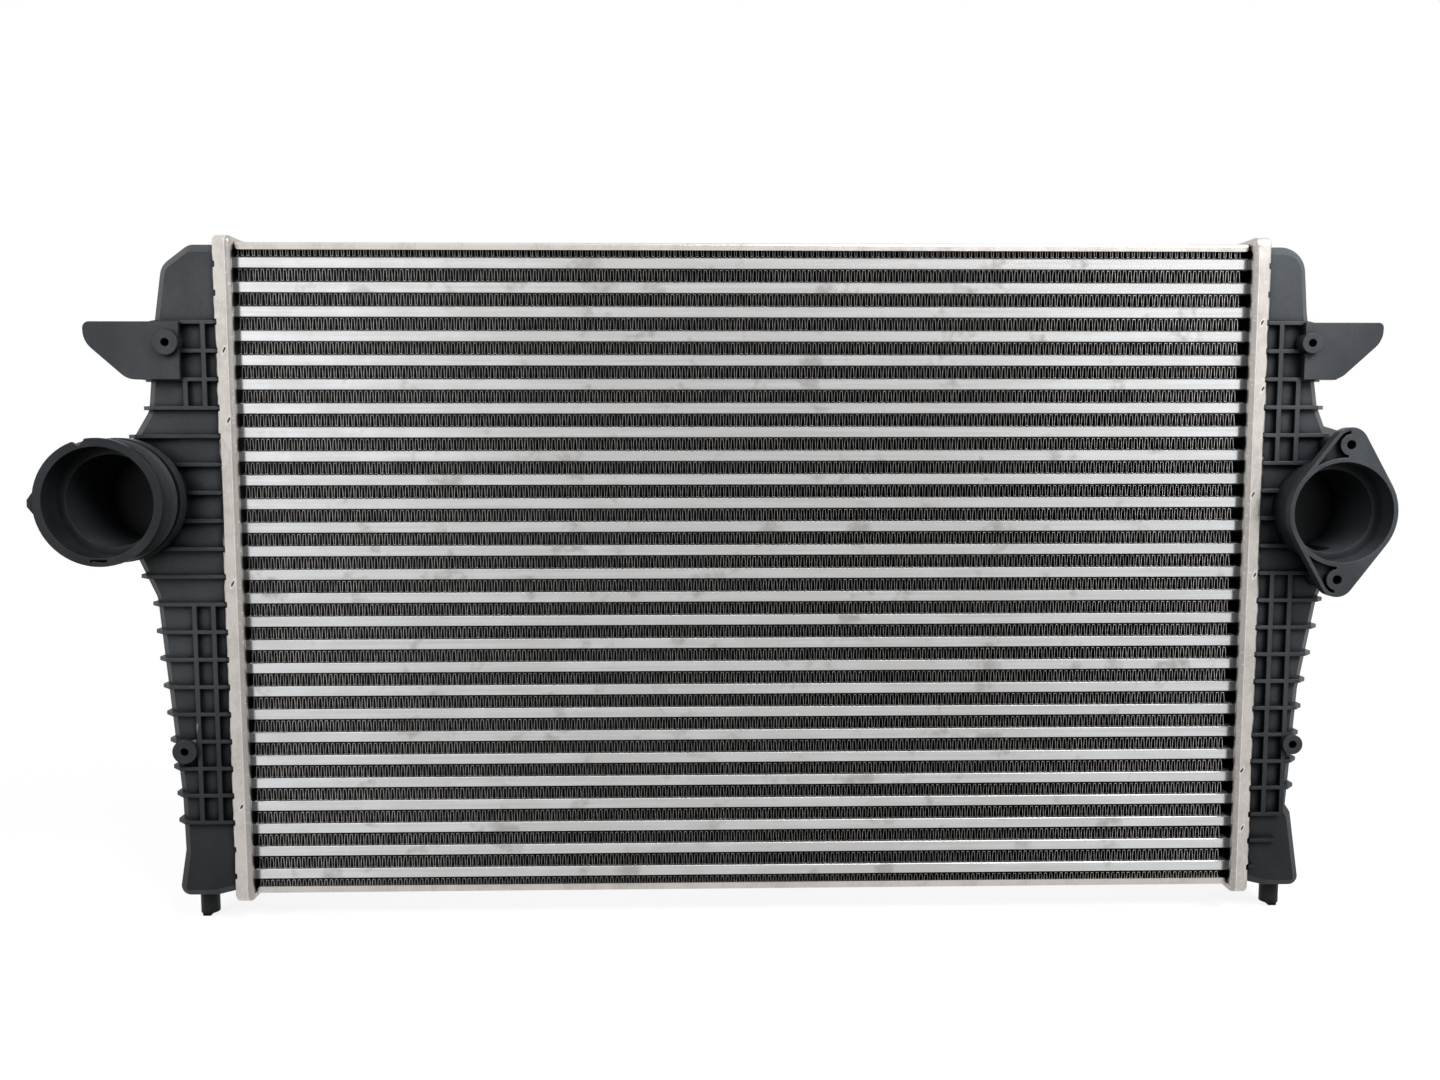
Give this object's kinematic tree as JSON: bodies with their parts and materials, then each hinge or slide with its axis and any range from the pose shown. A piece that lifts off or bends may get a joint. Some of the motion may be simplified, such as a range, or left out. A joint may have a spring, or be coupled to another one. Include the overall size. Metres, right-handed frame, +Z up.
{
  "type": "intercooler",
  "caption": "Charge-air cooler with a core of flat tubes and folded fins, side plates, crimped header plates and ribbed moulded end tanks with a round spigot port and a bolted flange port.",
  "frame": {"origin": "midway between the locating pins under the two tanks, at the level of their shoulders and on the middle plane of the core's depth", "axes": "+X along the tubes, from the spigot port's tank to the flange port's tank; +Y from the port side to the back; +Z up"},
  "size_m": [0.8087, 0.084, 0.4275],
  "materials": {
    "tube_metal": "mill finish",
    "fin_metal": "brazed, dull",
    "plate_metal": "mill finish",
    "header_metal": "mill finish",
    "gasket_rubber": "matte",
    "tank_plastic": "satin, glass-filled"
  },
  "bodies": {
    "root": {"tube_01": "tube_metal", "tube_02": "tube_metal", "tube_03": "tube_metal", "tube_04": "tube_metal", "tube_05": "tube_metal", "tube_06": "tube_metal", "tube_07": "tube_metal", "tube_08": "tube_metal", "tube_09": "tube_metal", "tube_10": "tube_metal", "tube_11": "tube_metal", "tube_12": "tube_metal", "tube_13": "tube_metal", "tube_14": "tube_metal", "tube_15": "tube_metal", "tube_16": "tube_metal", "tube_17": "tube_metal", "tube_18": "tube_metal", "tube_19": "tube_metal", "tube_20": "tube_metal", "tube_21": "tube_metal", "tube_22": "tube_metal", "tube_23": "tube_metal", "tube_24": "tube_metal", "tube_25": "tube_metal", "tube_26": "tube_metal", "tube_27": "tube_metal", "fin_01": "fin_metal", "fin_02": "fin_metal", "fin_03": "fin_metal", "fin_04": "fin_metal", "fin_05": "fin_metal", "fin_06": "fin_metal", "fin_07": "fin_metal", "fin_08": "fin_metal", "fin_09": "fin_metal", "fin_10": "fin_metal", "fin_11": "fin_metal", "fin_12": "fin_metal", "fin_13": "fin_metal", "fin_14": "fin_metal", "fin_15": "fin_metal", "fin_16": "fin_metal", "fin_17": "fin_metal", "fin_18": "fin_metal", "fin_19": "fin_metal", "fin_20": "fin_metal", "fin_21": "fin_metal", "fin_22": "fin_metal", "fin_23": "fin_metal", "fin_24": "fin_metal", "fin_25": "fin_metal", "fin_26": "fin_metal", "side_plate_top": "plate_metal", "side_plate_bottom": "plate_metal", "header_plate_right": "header_metal", "header_plate_left": "header_metal", "tank_gaskets": "gasket_rubber", "tank_right": "tank_plastic", "tank_left": "tank_plastic"}
  },
  "joints": []
}
